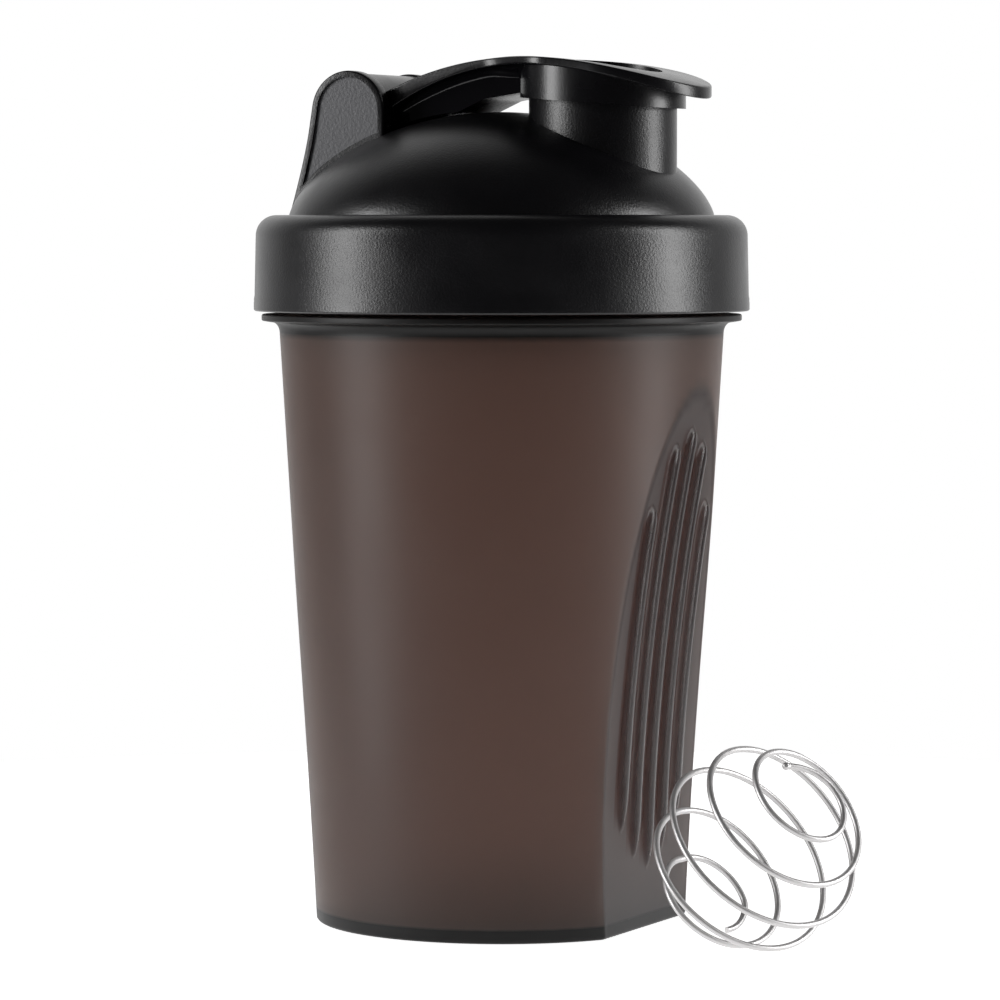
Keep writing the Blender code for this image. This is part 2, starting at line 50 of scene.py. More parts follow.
# Cup
CUP_BASE_R = 36.15 * MM            # outer radius the wall would have at z = 0
CUP_TAPER = 0.0604                 # outer radius gained for each metre of height
CUP_WALL = 1.75 * MM
CUP_FLOOR = 2.2 * MM
FOOT_R = 0.8 * MM                  # rounding of the bottom edge
INNER_FOOT_R = 2.4 * MM            # rounding between the wall and the floor, inside
RECESS_R = 26.0 * MM               # shallow recess moulded into the underside
RECESS_SLOPE = 1.0 * MM
RECESS_DEPTH = 0.6 * MM
GATE_MARK = ((2.2 * MM, 1.0), (1.8 * MM, 0.4), (0.0, 0.35))    # radius, share of the depth
FLARE_Z = 114.2 * MM
FLARE_REACH = 1.6 * MM             # how far the flare under the flange comes out in a curve
FLANGE_Z = (116.6 * MM, 117.9 * MM)
FLANGE_R = 46.55 * MM
FLANGE_EDGE = (0.3 * MM, 0.35 * MM)    # rounding of its lower and its upper edge
NECK_R = 43.0 * MM
NECK_FILLET = 0.5 * MM
NECK_WALL = 1.8 * MM
RIM_Z = 133.5 * MM
CUP_COLUMNS = 480
WALL_ROWS = ((FLARE_Z, 99.0 * MM, 8), (99.0 * MM, 76.0 * MM, 44), (76.0 * MM, 26.0 * MM, 18),
             (26.0 * MM, 11.0 * MM, 22), (11.0 * MM, FOOT_R, 6))   # rows lie closest at the rib ends
GRIP_HALF = 24.0 * MM              # half the width over which columns crowd onto a grip
GRIP_SHARE = 60.0                  # degrees of each quarter's columns that go to it

# Grips
SCOOP_R = 444.0 * MM
SCOOP_Z = 4.1 * MM
SCOOP_X = 30.9 * MM
CREASE = 0.16 * MM                 # softening of the edge between wall and grip
FACET_FADE = 0.3 * MM              # depth over which the wall's colour gives way to the sheen and shade painted on the grip
RIB_PITCH = 6.2 * MM
RIB_HALF = 2.0 * MM
RIB_HEIGHT = 1.15 * MM
RIB_TIP = (9.0 * MM, 3.6 * MM)     # length over which a rib narrows to its lower and upper end
RIB_SPANS = ((20.0 * MM, 82.0 * MM), (14.5 * MM, 93.5 * MM), (12.0 * MM, 96.5 * MM))

# Screw thread, two starts
THREAD_LEAD = 10.0 * MM
THREAD_R = 1.45 * MM
CUP_THREAD = (124.0 * MM, 220.0)    # height where a ridge starts, and its sweep in degrees
LID_THREAD = (121.5 * MM, 160.0)
THREAD_RUN_OUT = 12.0              # degrees over which a ridge's ends fade

# Lid
LID_STEPS = 256
RING_Z = 118.5 * MM
RING_TOP_Z = 137.0 * MM
RING_LIP_R = 48.05 * MM
RING_R = (47.9 * MM, 47.65 * MM)
RING_SHOULDER_R = 4.0 * MM
# The lip under the ring as (out, up): first from the ring's own side, then from the lip's radius
RING_LIP = ((0.12 * MM, 2.3 * MM), (-0.05 * MM, 1.9 * MM), (0.0, 1.6 * MM), (0.0, 0.5 * MM))
RING_LIP_EDGE = 0.4 * MM
RING_FOOT = 3.0 * MM               # how far above its lower edge the ring's plain side ends
RING_INNER_R = 45.1 * MM
RING_ROOF_Z = 135.6 * MM
COLLAR_R = (39.0 * MM, 40.7 * MM)
COLLAR_Z = 131.5 * MM
DOME_R = 41.3 * MM
DOME_Z = 136.2 * MM
DOME_RISE = 20.7 * MM
DOME_POWER = 1.28
DOME_WALL = 1.9 * MM
DOME_GROOVE = ((41.2 * MM, -0.05 * MM), (41.7 * MM, 0.05 * MM), (42.1 * MM, 0.35 * MM))
RING_TOP_START = (42.5 * MM, 0.16 * MM)    # radius and drop where the ring's top begins

# Spout
SPOUT_X = 21.6 * MM
SPOUT_R = 14.2 * MM
SPOUT_BORE_R = 12.95 * MM
SPOUT_LIP_R = 0.55 * MM
MOUTH_TILT = 0.077
MOUTH_Z = 161.9 * MM
MOUTH_DEPTH = 8.0 * MM             # points nearer the mouth than this take its slope
ROUND_STEPS = 128

# Hinge lugs and knuckle
LUG_R = 7.85 * MM
LUG_Y = (11.2 * MM, 14.5 * MM)
LUG_LEAN = 0.162
LUG_FLARE = 1.8 * MM
LUG_FLARE_Z = 153.0 * MM
LUG_FOOT_Z = 135.9 * MM
LUG_EDGE = 0.45 * MM
PANEL_INSET = 1.25 * MM
PANEL_DEPTH = 0.5 * MM
PANEL_GAP = 0.9 * MM               # height above the dome at which a panel stops
POCKET_R = 7.8 * MM
POCKET_WALL = 1.7 * MM
KNUCKLE_R = 7.4 * MM
KNUCKLE_Y = 10.9 * MM
TRUNNION_R = 2.2 * MM
TRUNNION_Y = 13.1 * MM
SOCKET_R = 2.5 * MM
SOCKET_Y = 13.5 * MM

# Flip cap
STRAP_APEX = (8.5 * MM, 167.15 * MM)
STRAP_ARC_R = (67.0 * MM, 103.0 * MM)
STRAP_T = 1.5 * MM
STRAP_THICKEN = (3.3, 0.75)
STRAP_ROOT_X = -21.0 * MM
STRAP_HALF = 10.7 * MM
STRAP_EDGE = 0.35 * MM
FLARE_X = (1.0 * MM, 16.5 * MM)
TAB_X = 26.3 * MM
TAB_R = 16.5 * MM
SKIRT_R = (14.5 * MM, 15.9 * MM)
SKIRT_Z = 158.4 * MM
PLUG_R = 12.6 * MM
PLUG_Z = 158.8 * MM
DISH_R = 11.5 * MM
DISH_SLOPE = (0.4 * MM, 0.6 * MM)  # how much less its floor and how much more its rim measure
DISH_Z = 160.2 * MM
KEEL_HALF = 8.5 * MM
KEEL_X = (-24.0 * MM, 14.5 * MM)
POLISH_END_X = 8.5 * MM            # the strap's glossy underside ends here, at the skirt
POLISH_MARGIN = 4.0 * MM           # how far past the strap's narrow half-width it may reach
KEEL_FILLET = 3.5 * MM             # height of the curve between the keel's side and the strap
KEEL_GAP = 0.12 * MM
KEEL_RISE_X = -5.2 * MM            # where the keel's lower edge leaves the dome
KEEL_RISE = ((0.2 * MM, 159.2 * MM), (8.6 * MM, 160.4 * MM))
CAP_REACH = 20.0 * MM              # the cap's shapes are cut from slabs that reach past it
CAP_Z = (150.0 * MM, 175.0 * MM)
TUBE_Z = (145.0 * MM, 175.0 * MM)
SKIRT_X = (4.0 * MM, 39.0 * MM)
END_EDGE = 0.3 * MM                # rounding of the knuckle's and the trunnions' ends

# Gasket
GASKET_R = (41.0 * MM, 44.6 * MM)
GASKET_Z = (133.8 * MM, 135.3 * MM)
GASKET_EDGE = 0.3 * MM

# Whisk ball
BALL_CENTRE = Vector((61.86 * MM, -18.1 * MM, 19.06 * MM))
BALL_R = 19.45 * MM
WIRE_R = 0.6 * MM
BALL_AXES = (Vector((0.054, 0.929, 0.367)), Vector((-0.681, -0.236, 0.694)),
             Vector((0.731, -0.287, 0.619)))    # the coil's own X, Y and Z
BALL_TURNS = 4.82                  # turns between its two end rings
BALL_POLES = (math.radians(18.3), math.radians(27.7))    # angles of the end rings from its axis
BALL_LEAN = math.radians(5.7)      # how far the first turns crowd towards their end ring
BALL_PHASE = -0.0185               # fraction of a turn by which the wire is rotated
BALL_START = -0.196                # turns of end ring before the first
BALL_HOOK = 11.3                   # radians by which a whole turn of its end would spread
BALL_CURL = (5.14, 0.5)            # where the other end starts to curl in, and how fast
BALL_END = 5.32
BALL_STEPS = 72
BEAD_R = 0.74 * MM                 # melted bead at the wire's upper end

# Smoke plastic: its tint, the heights between which it looks thick, and the light and shade painted
# on the grips
SMOKE = ((0.250, 0.172, 0.146), (0.280, 0.196, 0.168))
SMOKE_CLEAR = 0.92
SMOKE_IOR = 1.32
THICK_FLOOR_Z = (2.5 * MM, 3.0 * MM)
THICK_FLANGE_Z = ((113.2 * MM, 114.4 * MM), (118.2 * MM, 119.0 * MM))
SMOKE_THICK = (0.006, 0.005, 0.005)
# (mark, colour, roughness) laid one over another: a painted grey sheen on the flat and the ribs,
# painted shade between the ribs and a painted dark line along the grip's edge
GRIP_PAINTED_LIGHT = (("facet", (0.150, 0.130, 0.132), 0.42), ("rib_zone", (0.105, 0.052, 0.044), 0.36),
               ("rib", (0.040, 0.037, 0.042), 0.20), ("grip_edge", (0.060, 0.045, 0.044), 0.35))

# Black plastic
BLACK = ((0.0022, 0.0020, 0.0028), (0.0034, 0.0031, 0.0042))
# the lug panels' black, lightened to a grey that paints in the sheen their coarse grain catches
PANEL_PAINTED_SHEEN = ((0.060, 0.060, 0.066), (0.105, 0.105, 0.113))
GRAIN_DEPTH = 0.05 * MM

# Camera and studio
CAMERA_AZIMUTH = math.radians(26.0)
CAMERA_DISTANCE = 932.1 * MM
CAMERA_Z = 135.1 * MM
CAMERA_PITCH = math.radians(3.28)
CAMERA_LENS = 172.8
CAMERA_SHIFT = -0.0017
SENSOR = 36.0
FLOOR_R = 300.0 * MM
FLOOR_DROP = 0.2 * MM              # gap that keeps the floor off the cup's base
SOFTBOXES = (("softbox_left", -76.0), ("softbox_right", 84.0))    # degrees from the camera's side
SOFTBOX_DISTANCE = 1.0
SOFTBOX_Z = 0.25
SOFTBOX_SIZE = (0.35, 0.9)
SOFTBOX_POWER = 9.0
SOFTBOX_AIM = Vector((0.0, 0.0, 0.09))
WORLD_GLOW = (0.03, 1.0)           # strength on the camera's side and behind the object
WORLD_FADE = (0.35, 0.95)


# Mesh helpers

def object_from(name, bm):
    """A finished object at the origin from a bmesh, its doubles merged and its faces outwards."""
    bmesh.ops.remove_doubles(bm, verts=bm.verts, dist=0.002 * MM)
    bmesh.ops.recalc_face_normals(bm, faces=bm.faces)
    mesh = bpy.data.meshes.new(name)
    bm.to_mesh(mesh)
    bm.free()
    obj = bpy.data.objects.new(name, mesh)
    bpy.context.scene.collection.objects.link(obj)
    return obj


def chain(bm, places, closed=False):
    """A row of joined vertices, as geometry for a spin."""
    verts = [bm.verts.new(place) for place in places]
    edges = [bm.edges.new(pair) for pair in zip(verts, verts[1:])]
    if closed:
        edges.append(bm.edges.new((verts[-1], verts[0])))
    return verts + edges


def turned(name, profile, steps, closed=False, centre=(0.0, 0.0)):
    """A (radius, height) profile spun round an upright axis."""
    bm = bmesh.new()
    geom = chain(bm, [(centre[0] + r, centre[1], z) for r, z in profile], closed)
    bmesh.ops.spin(bm, geom=geom, cent=(*centre, 0.0), axis=(0.0, 0.0, 1.0), angle=FULL_TURN,
                   steps=steps, use_merge=True)
    return object_from(name, bm)


def slab(name, outline, low, high, axis, edge=0.0):
    """An outline in (x, z) or (x, y) given thickness along Y or Z, its rims rounded by edge."""
    bm = bmesh.new()
    if axis == "Y":
        places = [(a, low, b) for a, b in outline]
        shift = Vector((0.0, high - low, 0.0))
    else:
        places = [(a, b, low) for a, b in outline]
        shift = Vector((0.0, 0.0, high - low))
    face = bm.faces.new([bm.verts.new(place) for place in places])
    moved = bmesh.ops.extrude_face_region(bm, geom=[face], use_keep_orig=True)["geom"]
    verts = [v for v in moved if isinstance(v, bmesh.types.BMVert)]
    bmesh.ops.translate(bm, verts=verts, vec=shift)
    bmesh.ops.recalc_face_normals(bm, faces=bm.faces)
    if edge:
        rims = [e for e in bm.edges if e.calc_face_angle(0.0) > math.radians(60.0)]
        bmesh.ops.bevel(bm, geom=rims, offset=edge, segments=3, affect="EDGES", profile=0.5,
                        material=-1, clamp_overlap=True)
    return object_from(name, bm)


def barrel(name, radius, half, centre, steps=96, edge=0.0):
    """A round bar along Y, centred on a point in (x, z), its ends rounded by edge."""
    profile = [(0.0, -half), (radius - edge, -half), (radius, edge - half),
               (radius, half - edge), (radius - edge, half), (0.0, half)]
    bm = bmesh.new()
    geom = chain(bm, [(centre[0] + r, y, centre[1]) for r, y in profile])
    bmesh.ops.spin(bm, geom=geom, cent=(centre[0], 0.0, centre[1]), axis=(0.0, 1.0, 0.0),
                   angle=FULL_TURN, steps=steps, use_merge=True)
    return object_from(name, bm)


def bake(obj):
    """Apply an object's modifiers to its mesh."""
    graph = bpy.context.evaluated_depsgraph_get()
    mesh = bpy.data.meshes.new_from_object(obj.evaluated_get(graph))
    obj.modifiers.clear()
    obj.data = mesh


def boolean(target, tool, operation):
    """Apply a Boolean to target and use the tool up."""
    mod = target.modifiers.new("Boolean", "BOOLEAN")
    mod.operation = operation
    mod.solver = "EXACT"
    mod.object = tool
    bake(target)
    bpy.data.objects.remove(tool)


def mirrored(obj, name):
    """A copy of an object on the other side of the XZ plane."""
    bm = bmesh.new()
    bm.from_mesh(obj.data)
    bmesh.ops.scale(bm, vec=(1.0, -1.0, 1.0), verts=bm.verts)
    return object_from(name, bm)


def smooth(obj, angle=32.0):
    """Shade smooth, with edges sharper than an angle in degrees kept."""
    obj.data.shade_smooth()
    obj.data.set_sharp_from_angle(angle=math.radians(angle))


def spread(low, high, steps):
    """Evenly spaced values from low to high, both included."""
    return [low + (high - low) * i / steps for i in range(steps + 1)]


def arc(centre, radius, start, end, steps):
    """Points on a circle from one angle to another, in degrees."""
    angles = [math.radians(angle) for angle in spread(start, end, steps)]
    return [(centre[0] + radius * math.cos(angle), centre[1] + radius * math.sin(angle))
            for angle in angles]


def finish_piece(obj, body, node, material):
    """Put a piece on its body in its CAD node's place, with its material."""
    obj.data.materials.clear()
    obj.data.materials.append(material)
    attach(obj, body)
    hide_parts(node)


# Thread

def ridge_height(angle, height, base, sweep):
    """How far a two-start thread stands out at an angle in degrees and a height."""
    tallest = 0.0
    for start in (0.0, 180.0):
        turn = (angle - start) % 360.0
        if turn > sweep:
            continue
        run_out = min(1.0, turn / THREAD_RUN_OUT, (sweep - turn) / THREAD_RUN_OUT)
        offset = (height - base - THREAD_LEAD * turn / 360.0) / THREAD_R
        if abs(offset) < 1.0:
            tallest = max(tallest, THREAD_R * math.sqrt(1.0 - offset ** 2) * run_out)
    return tallest


# Cup

def wall_radius(height):
    return CUP_BASE_R + CUP_TAPER * height


def scoop_x(height):
    return SCOOP_X + SCOOP_R - math.sqrt(SCOOP_R ** 2 - (height - SCOOP_Z) ** 2)


def soft_min(a, b, softness):
    """The smaller of two values, rounded off where they are nearly the same."""
    near = max(softness - abs(a - b), 0.0) / softness
    return min(a, b) - near * near * softness / 4


def rib_height(across, height):
    """How far the ribs of a grip stand out at a place on it."""
    tallest = 0.0
    for index in range(-2, 3):
        low, high = RIB_SPANS[2 - abs(index)]
        end = min((height - low) / RIB_TIP[0], (high - height) / RIB_TIP[1], 1.0)
        if end <= 0.0:
            continue
        taper = math.sqrt(1.0 - (1.0 - end) ** 2)
        offset = (across - index * RIB_PITCH) / (RIB_HALF * taper)
        if abs(offset) < 1.0:
            tallest = max(tallest, RIB_HEIGHT * taper * (1.0 - offset ** 2) ** 0.6)
    return tallest


def cup_profile():
    """The cup's section from the middle of its floor, up inside, over the rim and down outside."""
    inner_foot = CUP_FLOOR + INNER_FOOT_R
    inner_r = wall_radius(inner_foot) - CUP_WALL
    inside = [(0.0, CUP_FLOOR)]
    inside += arc((inner_r - INNER_FOOT_R, inner_foot), INNER_FOOT_R, -90.0, 0.0, 6)
    inside += [(wall_radius(z) - CUP_WALL, z) for z in spread(inner_foot, FLARE_Z - 2.0 * MM, 36)[1:]]
    mouth = NECK_R - NECK_WALL
    inside += [(mouth - 0.6 * MM, FLANGE_Z[0] - 1.0 * MM), (mouth, FLANGE_Z[0] + 0.4 * MM)]
    rim = arc((NECK_R - NECK_WALL / 2, RIM_Z - NECK_WALL / 2), NECK_WALL / 2, 180.0, 0.0, 10)
    low_edge, high_edge = FLANGE_EDGE
    neck = [(NECK_R, z) for z in spread(RIM_Z - 1.2 * MM, FLANGE_Z[1] + NECK_FILLET, 34)]
    flange = arc((NECK_R + NECK_FILLET, FLANGE_Z[1] + NECK_FILLET), NECK_FILLET, 180.0, 270.0, 4)[1:]
    flange += arc((FLANGE_R - high_edge, FLANGE_Z[1] - high_edge), high_edge, 90.0, 0.0, 4)
    flange += arc((FLANGE_R - low_edge, FLANGE_Z[0] + low_edge), low_edge, 0.0, -70.0, 3)
    wall = wall_radius(FLARE_Z)
    underside = FLANGE_Z[0] - 0.1 * MM
    flare = [(FLANGE_R - 0.9 * MM, underside)]
    flare += [(wall + FLARE_REACH * (1.0 - math.sin(t)), FLARE_Z + (underside - 0.15 * MM - FLARE_Z)
               * math.cos(t)) for t in spread(0.0, math.pi / 2, 12)]
    outside = [(wall_radius(z), z) for (high, low, rows) in WALL_ROWS
               for z in spread(high, low, rows)[1:]]
    foot = arc((wall_radius(FOOT_R) - FOOT_R, FOOT_R), FOOT_R, 0.0, -90.0, 6)[1:]
    recess = [(RECESS_R + RECESS_SLOPE, 0.0), (RECESS_R, RECESS_DEPTH)]
    recess += [(radius, RECESS_DEPTH * share) for radius, share in GATE_MARK]
    return inside + rim + neck + flange + flare + outside + foot + recess


def crowd_columns(place):
    """Shift a point round its circle so that the columns lie closest together on the grips."""
    radius = math.hypot(place.x, place.y)
    share = math.degrees(math.atan2(abs(place.y), abs(place.x)))
    if share <= GRIP_SHARE:
        across = GRIP_HALF * share / GRIP_SHARE
        along = math.sqrt(radius ** 2 - across ** 2)
    else:
        edge = math.asin(GRIP_HALF / radius)
        angle = edge + (math.pi / 2 - edge) * (share - GRIP_SHARE) / (90.0 - GRIP_SHARE)
        across, along = radius * math.sin(angle), radius * math.cos(angle)
    place.x = math.copysign(along, place.x)
    place.y = math.copysign(across, place.y)


def shape_grip(place, radius):
    """Press a point of the wall, inside or outside, into the grip on its side."""
    inset = wall_radius(place.z) - radius
    side = math.copysign(1.0, place.x)
    floor = scoop_x(place.z) - inset
    if inset < CUP_WALL / 2:
        floor += rib_height(place.y, place.z)
    place.x = side * soft_min(floor, abs(place.x), CREASE)


def rib_zone(across, height):
    """One between and on the ribs, fading out where they end."""
    zone = 0.0
    for index in range(-2, 3):
        low, high = RIB_SPANS[2 - abs(index)]
        if abs(across - index * RIB_PITCH) < 0.55 * RIB_PITCH:
            zone = max(zone, min(1.0, (height - low) / RIB_TIP[1], (high - height) / RIB_TIP[1]))
    return zone


def mark_grips(cup):
    """Attributes for the outer plastic: the grips, their ribs, the ribbed area and their edges, which
    place the light and shade painted on the grips and their roughness.
    """
    names = ("facet", "rib", "rib_zone", "grip_edge")
    facet, rib, zone, edge = (cup.data.attributes.new(name, "FLOAT", "POINT") for name in names)
    for index, vert in enumerate(cup.data.vertices):
        x, y, z = vert.co
        if z > FLARE_Z or abs(y) > GRIP_HALF or abs(x) < scoop_x(z) - CUP_WALL / 2:
            continue
        sunk = (wall_radius(z) - math.hypot(x, y)) / FACET_FADE
        facet.data[index].value = min(1.0, max(0.0, sunk))
        edge.data[index].value = max(0.0, 1.0 - abs(sunk - 1.0)) ** 0.5
        rib.data[index].value = rib_height(y, z) / RIB_HEIGHT
        zone.data[index].value = rib_zone(y, z)


def build_cup():
    cup = turned("cup_body", cup_profile(), CUP_COLUMNS)
    for vert in cup.data.vertices:
        place = vert.co
        radius = math.hypot(place.x, place.y)
        if radius < RECESS_R + 2.0 * MM:
            continue
        crowd_columns(place)
        if place.z < FLARE_Z + 1.0 * MM and abs(place.y) < GRIP_HALF:
            shape_grip(place, radius)
        if place.z > FLANGE_Z[1] and radius > NECK_R - 0.1 * MM:
            angle = math.degrees(math.atan2(place.y, place.x))
            grown = (radius + ridge_height(angle, place.z, *CUP_THREAD)) / radius
            place.x *= grown
            place.y *= grown
    mark_grips(cup)
    smooth(cup, 50.0)
    outer = smoke_plastic("cup_smoke_outer", 0.42, 0.48, grips=True)
    finish_piece(cup, "cup", "cup", outer)
    cup.data.materials.append(smoke_plastic("cup_smoke_inner", 0.55, 0.65))
    for face in cup.data.polygons:
        middle = face.center
        inside = face.normal.dot(Vector((middle.x, middle.y, 0.0))) < 0.0
        if inside and middle.z < FLARE_Z:
            face.material_index = 1


# Lid

def dome_points(radius, rise):
    """The dome's section from its top down to its foot."""
    return [(radius * math.sin(angle), DOME_Z + rise * max(0.0, math.cos(angle)) ** DOME_POWER)
            for angle in spread(0.0, math.pi / 2, 36)]


def dome_z(radius, gap):
    """Height of the dome, swollen by a gap, at a radius."""
    return DOME_Z + (DOME_RISE + gap) * (1 - (radius / (DOME_R + gap)) ** 2) ** (DOME_POWER / 2)


def lid_outside():
    """The lid's outer skin as a solid: the dome, the groove round it and the ring."""
    low, high = RING_R
    shoulder_z = RING_TOP_Z - RING_SHOULDER_R
    profile = dome_points(DOME_R, DOME_RISE)
    profile += [(radius, DOME_Z + rise) for radius, rise in DOME_GROOVE]
    profile += [(RING_TOP_START[0], RING_TOP_Z - RING_TOP_START[1])]
    profile += arc((high - RING_SHOULDER_R, shoulder_z), RING_SHOULDER_R, 86.0, 0.0, 14)
    profile += [(high + (low - high) * f, shoulder_z - (shoulder_z - RING_Z - RING_FOOT) * f)
                for f in spread(0.0, 1.0, 6)[1:]]
    first, *others = RING_LIP
    profile += [(low + first[0], RING_Z + first[1])]
    profile += [(RING_LIP_R + out, RING_Z + rise) for out, rise in others]
    profile += arc((RING_LIP_R - RING_LIP_EDGE, RING_Z + RING_LIP_EDGE), RING_LIP_EDGE,
                   0.0, -90.0, 4)
    profile += [(0.0, RING_Z)]
    return turned("lid_shell", profile, LID_STEPS)


def lid_inside():
    """The space inside the lid as a solid, with the thread's ridges left out of it."""
    profile = dome_points(COLLAR_R[0], DOME_RISE - DOME_WALL)
    profile += [(COLLAR_R[0], COLLAR_Z), (COLLAR_R[1], COLLAR_Z), (COLLAR_R[1], RING_ROOF_Z),
                (RING_INNER_R, RING_ROOF_Z)]
    profile += [(RING_INNER_R, z) for z in spread(RING_ROOF_Z, RING_Z, 40)[1:]]
    profile += [(RING_INNER_R, RING_Z - 2.0 * MM), (0.0, RING_Z - 2.0 * MM)]
    hollow = turned("lid_hollow", profile, LID_STEPS)
    for vert in hollow.data.vertices:
        radius = math.hypot(vert.co.x, vert.co.y)
        if abs(radius - RING_INNER_R) < 0.05 * MM and vert.co.z > RING_Z:
            angle = math.degrees(math.atan2(vert.co.y, vert.co.x))
            shrunk = (radius - ridge_height(angle, vert.co.z, *LID_THREAD)) / radius
            vert.co.x *= shrunk
            vert.co.y *= shrunk
    return hollow


def tilt_mouth(obj):
    """Slope the top of a spout-shaped object to the mouth's plane."""
    for vert in obj.data.vertices:
        if vert.co.z > MOUTH_Z - MOUTH_DEPTH:
            vert.co.z -= MOUTH_TILT * (vert.co.x - SPOUT_X)


def spout_outside():
    lip = SPOUT_LIP_R
    profile = [(0.0, MOUTH_Z), (SPOUT_R - lip, MOUTH_Z)]
    profile += arc((SPOUT_R - lip, MOUTH_Z - lip), lip, 90.0, 0.0, 5)[1:]
    profile += [(SPOUT_R, DOME_Z + 1.5 * MM), (0.0, DOME_Z + 1.5 * MM)]
    spout = turned("spout", profile, ROUND_STEPS, centre=(SPOUT_X, 0.0))
    tilt_mouth(spout)
    return spout


def spout_inside():
    lip = SPOUT_LIP_R
    profile = [(0.0, MOUTH_Z + 4.0 * MM), (SPOUT_BORE_R + lip, MOUTH_Z + 4.0 * MM)]
    profile += arc((SPOUT_BORE_R + lip, MOUTH_Z - lip), lip, 90.0, 180.0, 5)
    profile += [(SPOUT_BORE_R, DOME_Z - 3.0 * MM), (0.0, DOME_Z - 3.0 * MM)]
    bore = turned("bore", profile, ROUND_STEPS, centre=(SPOUT_X, 0.0))
    tilt_mouth(bore)
    return bore


def lug_outline(inset, foot_z):
    """A round-topped lug in (x, z): its outer side flares at the foot, its inner side is upright."""
    centre = (HINGE.x, HINGE.z)
    radius = LUG_R - inset
    lean = math.degrees(math.atan(LUG_LEAN))
    outline = arc(centre, radius, 0.0, 180.0 - lean, 40)
    left = outline[-1]
    for z in spread(LUG_FLARE_Z, foot_z, 14):
        flare = LUG_FLARE * ((LUG_FLARE_Z - z) / (LUG_FLARE_Z - LUG_FOOT_Z)) ** 1.5
        outline.append((left[0] - LUG_LEAN * (left[1] - z) - flare, z))
    outline.append((HINGE.x + radius, foot_z))
    return outline


def dome_solid(gap):
    """The dome swollen by a gap, as a solid."""
    profile = dome_points(DOME_R + gap, DOME_RISE + gap)
    profile += [(DOME_R + gap, DOME_Z - 6.0 * MM), (0.0, DOME_Z - 6.0 * MM)]
    return turned("dome_solid", profile, ROUND_STEPS)


def lug_panel():
    """The shallow recess in a lug's outer face, which stops just above the dome."""
    panel = slab("panel", lug_outline(PANEL_INSET, LUG_FOOT_Z), LUG_Y[1] - PANEL_DEPTH,
                 LUG_Y[1] + 2.0 * MM, "Y")
    boolean(panel, dome_solid(PANEL_GAP), "DIFFERENCE")
    return panel


def build_lid():
    lid = lid_outside()
    boolean(lid, spout_outside(), "UNION")
    centre = (HINGE.x, HINGE.z)
    boolean(lid, barrel("pocket", POCKET_R, LUG_Y[0] + 0.4 * MM, centre), "DIFFERENCE")
    lug = slab("lug", lug_outline(0.0, LUG_FOOT_Z), *LUG_Y, "Y", LUG_EDGE)
    boolean(lid, mirrored(lug, "lug_near"), "UNION")
    boolean(lid, lug, "UNION")
    panel = lug_panel()
    boolean(lid, mirrored(panel, "panel_near"), "DIFFERENCE")
    boolean(lid, panel, "DIFFERENCE")
    hollow = lid_inside()
    boolean(hollow, barrel("bulge", POCKET_R + POCKET_WALL, LUG_Y[0] + 2.0 * MM, centre),
            "DIFFERENCE")
    boolean(lid, hollow, "DIFFERENCE")
    boolean(lid, spout_inside(), "DIFFERENCE")
    boolean(lid, barrel("sockets", SOCKET_R, SOCKET_Y, centre, 48), "DIFFERENCE")
    smooth(lid)
    finish_piece(lid, "lid", "lid", lid_plastic())
    lid.data.materials.append(panel_plastic())
    for face in lid.data.polygons:
        sunk = abs(abs(face.center.y) - (LUG_Y[1] - PANEL_DEPTH)) < 0.01 * MM
        if sunk and abs(face.normal.y) > 0.9:
            face.material_index = 1


# Gasket

def build_gasket():
    inner, outer = GASKET_R
    low, high = GASKET_Z
    edge = GASKET_EDGE
    profile = arc((outer - edge, high - edge), edge, 90.0, 0.0, 4)
    profile += arc((outer - edge, low + edge), edge, 0.0, -90.0, 4)
    profile += arc((inner + edge, low + edge), edge, -90.0, -180.0, 4)
    profile += arc((inner + edge, high - edge), edge, 180.0, 90.0, 4)
    gasket = turned("lid_seal", profile, 192, closed=True)
    smooth(gasket)
    finish_piece(gasket, "gasket", "lid_gasket", gasket_rubber())


# Flip cap

def strap_top(x):
    radius = STRAP_ARC_R[0] if x < STRAP_APEX[0] else STRAP_ARC_R[1]
    return STRAP_APEX[1] - radius + math.sqrt(radius ** 2 - (x - STRAP_APEX[0]) ** 2)


def strap_bottom(x):
    growth = STRAP_THICKEN[0] if x < STRAP_APEX[0] else STRAP_THICKEN[1]
    return strap_top(x) - STRAP_T - growth * (x - STRAP_APEX[0]) ** 2


def strap_half(x):
    """Half the strap's width, which grows smoothly into the tab."""
    f = min(1.0, max(0.0, (x - FLARE_X[0]) / (FLARE_X[1] - FLARE_X[0])))
    return STRAP_HALF + (TAB_R - STRAP_HALF) * f * f * (3 - 2 * f)


def strap_side():
    stations = spread(STRAP_ROOT_X, TAB_X + TAB_R + 2.0 * MM, 60)
    outline = [(x, strap_top(x)) for x in stations]
    return outline + [(x, strap_bottom(x)) for x in reversed(stations)]


def strap_plan():
    near = [(STRAP_ROOT_X - 4.0 * MM, -STRAP_HALF), (FLARE_X[0], -STRAP_HALF)]
    near += [(x, -strap_half(x)) for x in spread(*FLARE_X, 24)[1:]]
    near += arc((TAB_X, 0.0), TAB_R, -90.0, 0.0, 40)
    return near + [(x, -y) for x, y in reversed(near[:-1])]


def between(name, top, bottom, low, high):
    """A slab across the spout between two curves in the side view."""
    stations = spread(low, high, 24)
    outline = [(x, top(x)) for x in reversed(stations)] + [(x, bottom(x)) for x in stations]
    return slab(name, outline, -CAP_REACH, CAP_REACH, "Y")


def skirt_bottom(x):
    return SKIRT_Z - MOUTH_TILT * (x - SPOUT_X)


def skirt_top(x):
    return strap_top(x) - 0.5 * MM


